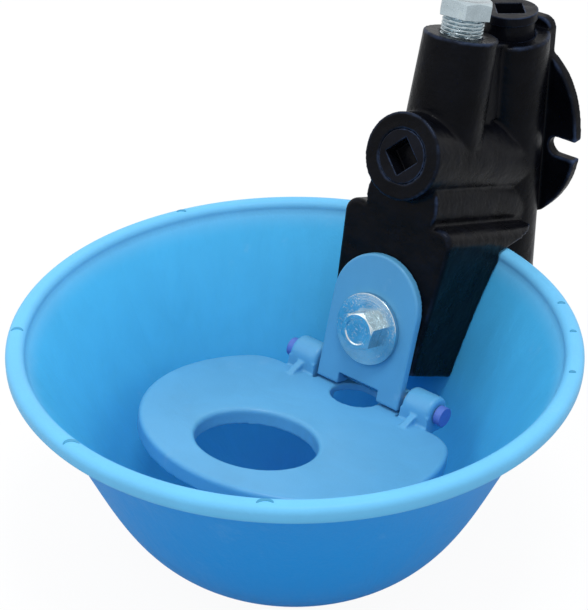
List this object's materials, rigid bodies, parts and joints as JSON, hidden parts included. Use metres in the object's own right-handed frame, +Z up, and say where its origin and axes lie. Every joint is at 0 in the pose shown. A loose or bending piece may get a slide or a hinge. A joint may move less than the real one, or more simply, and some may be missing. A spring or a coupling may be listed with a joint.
{
  "type": "livestock drinking bowl",
  "caption": "Round plastic livestock drinking bowl on a cast wall valve with a hinged paddle that opens the water when pressed.",
  "frame": {"origin": "wall face of the flange, midway between the two open bolt slots", "axes": "+Z up, +Y into the wall, so the bowl stands out towards -Y; X across, along the line of the bolt slots"},
  "size_m": [0.27, 0.321, 0.2497],
  "materials": {
    "bowl_plastic": "satin moulded plastic",
    "paddle_plastic": "satin moulded plastic",
    "black_enamel": "glossy black enamel over cast iron",
    "black_plug": "black coated",
    "zinc_steel": "bright zinc plated",
    "bracket_washer_zinc": "bright zinc plated",
    "stainless_pin": "drawn stainless steel",
    "cap_plastic": "moulded plastic",
    "seal_rubber": "moulded rubber",
    "brass": "turned",
    "strainer_plastic": "moulded plastic"
  },
  "bodies": {
    "housing": {"bowl": "bowl_plastic", "valve_housing": "black_enamel", "bowl_screws": "zinc_steel", "bowl_screw_washers": "zinc_steel", "hinge_bracket": "paddle_plastic", "bracket_washer": "bracket_washer_zinc", "bracket_bolt": "zinc_steel", "hinge_pin": "stainless_pin", "hinge_pin_caps": "cap_plastic", "inlet_plug": "black_plug", "access_plug": "black_plug", "access_plug_seal": "seal_rubber", "valve_seat": "brass", "seat_seal": "seal_rubber", "stem_guide": "brass", "strainer": "strainer_plastic", "return_spring": "stainless_pin"},
    "paddle": {"paddle": "paddle_plastic"},
    "stem": {"valve_stem": "brass", "valve_disc": "seal_rubber", "disc_nut": "brass", "stem_foot": "cap_plastic"},
    "regulator": {"regulator_screw": "zinc_steel", "regulator_seal": "seal_rubber"}
  },
  "joints": [
    {"name": "paddle_hinge", "type": "hinge", "parent": "housing", "child": "paddle", "pos_m": [0, -0.1302, -0.0933], "axis": [1, 0, 0], "range_deg": [0, 12], "stiffness_Nm_per_rad": 0.15, "springref_deg": -34.38},
    {"name": "stem_slide", "type": "slide", "parent": "housing", "child": "stem", "axis": [0, 0.225, 0.9744], "range_m": [0, 0.006], "deforming": ["return_spring"]},
    {"name": "regulator_travel", "type": "slide", "parent": "housing", "child": "regulator", "axis": [0, -0.225, -0.9744], "range_m": [-0.008, 0.003], "deforming": ["return_spring"]}
  ],
  "couplings": [
    {"joint": "stem_slide", "follows": "paddle_hinge", "m_per_rad": 0.0278}
  ]
}
